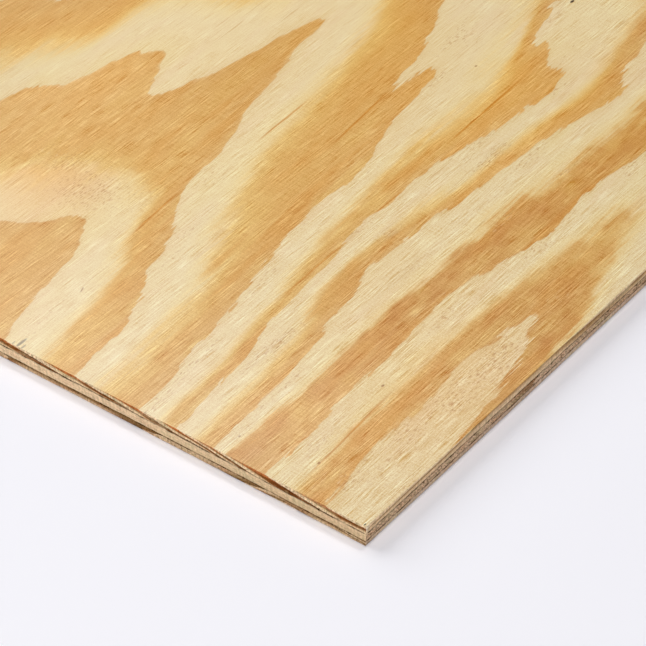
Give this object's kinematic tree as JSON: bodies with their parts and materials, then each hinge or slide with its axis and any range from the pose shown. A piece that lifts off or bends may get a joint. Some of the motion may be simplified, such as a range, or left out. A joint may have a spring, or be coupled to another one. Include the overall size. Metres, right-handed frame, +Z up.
{
  "type": "plywood sheet",
  "caption": "Flat rectangular pine plywood sheet of three cross-laid veneers glued together, with square sawn edges that show the plies and a smooth face with wide growth-ring figure.",
  "frame": {"origin": "centre of the sheet's underside, on the floor that it lies on", "axes": "+Z up out of the good face, +Y along the 8 ft side and the face grain, +X along the 4 ft end; the corner that the picture shows is at +X, -Y"},
  "size_m": [1.219, 2.438, 0.0119],
  "materials": {
    "back_veneer": "rotary-cut pine veneer, unsanded, grain along the long side",
    "core_veneer": "rotary-cut pine crossband veneer, grain across the sheet, sawn edges only",
    "face_veneer": "rotary-cut pine veneer, lightly sanded, unfinished, grain along the long side"
  },
  "bodies": {
    "root": {"back_veneer": "back_veneer", "core_veneer": "core_veneer", "face_veneer": "face_veneer"}
  },
  "joints": []
}
